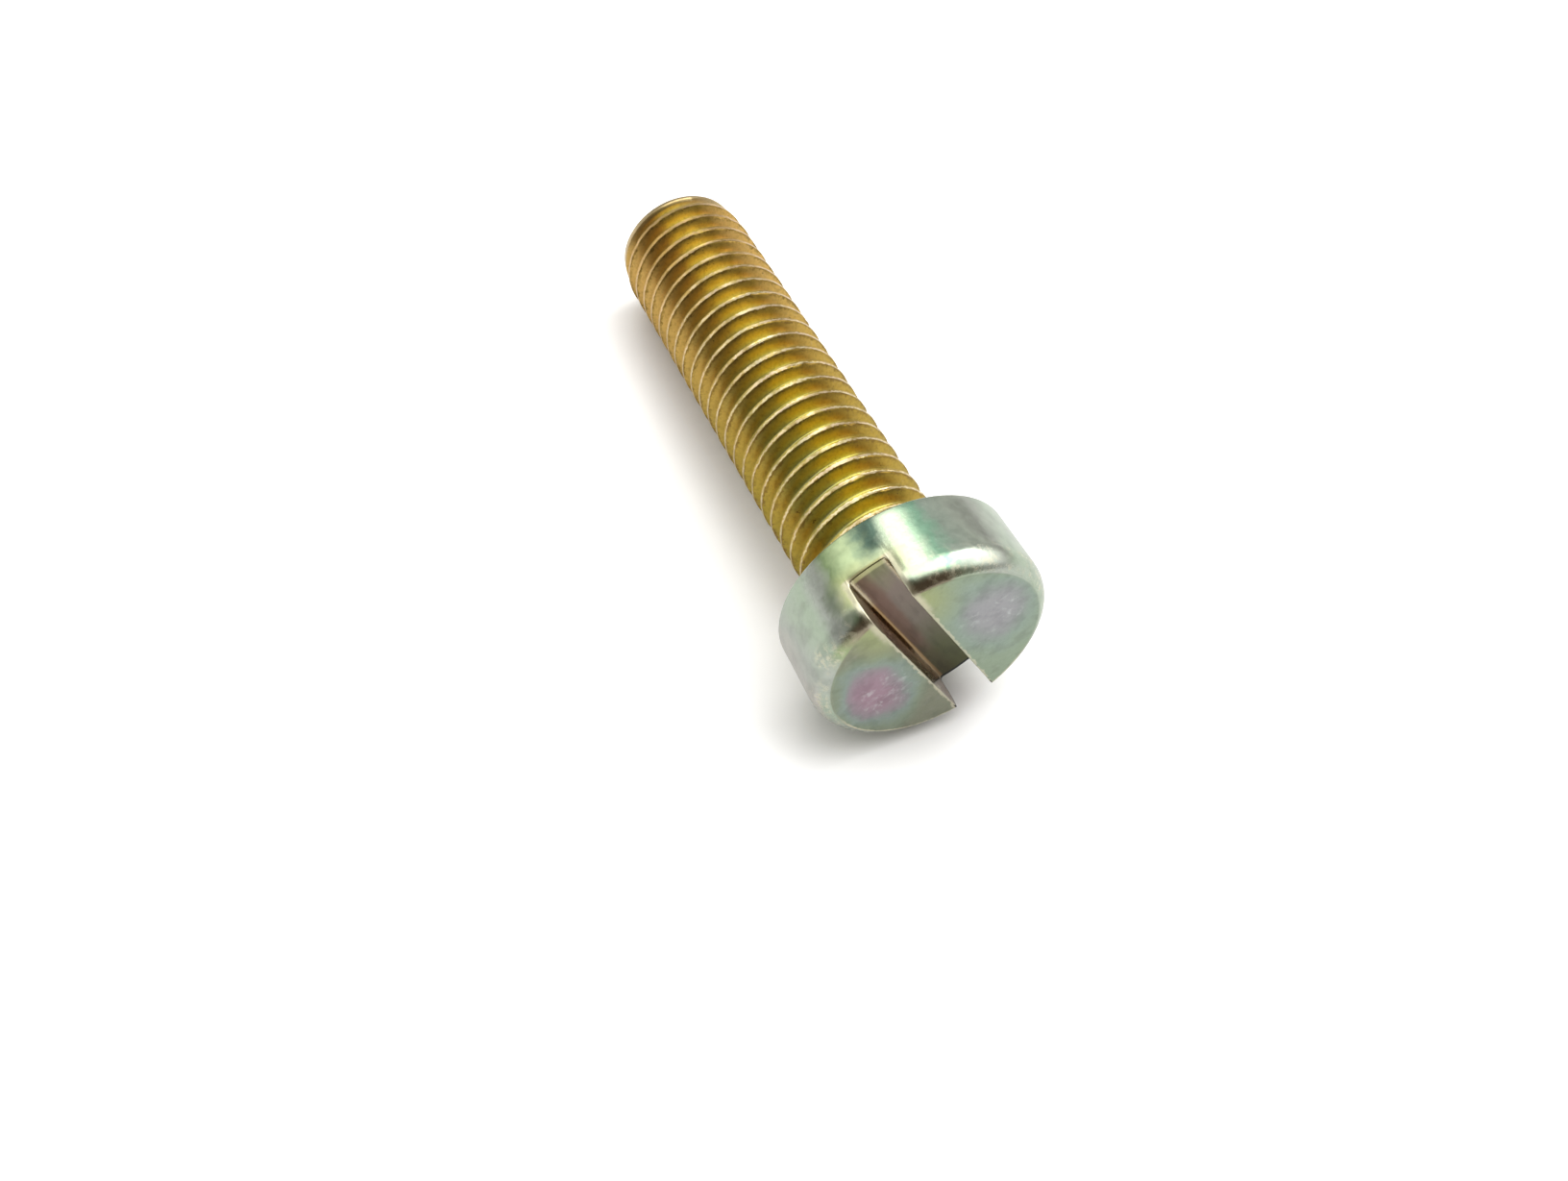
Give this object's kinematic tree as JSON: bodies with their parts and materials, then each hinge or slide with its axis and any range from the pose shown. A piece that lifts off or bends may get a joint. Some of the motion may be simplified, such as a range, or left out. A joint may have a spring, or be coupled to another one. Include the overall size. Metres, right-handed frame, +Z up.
{
  "type": "slotted cheese-head machine screw",
  "caption": "Fully threaded M8 x 30 machine screw with a cylindrical cheese head, rounded rim, straight driver slot and chamfered end, in yellow-passivated zinc plate.",
  "frame": {"origin": "centre of the head's bearing face, on the screw's axis", "axes": "+Y along the shank towards the threaded end, the slotted face of the head looks along -Y, +Z up as the screw lies on its side; the slot lies in the XZ plane, turned 28 degrees from Z towards -X"},
  "size_m": [0.013, 0.0347, 0.013],
  "materials": {
    "plated_steel": "bright zinc plate with yellow iridescent passivation, golden on the thread, pale silver-green on the head"
  },
  "bodies": {
    "root": {"screw": "plated_steel"}
  },
  "joints": []
}
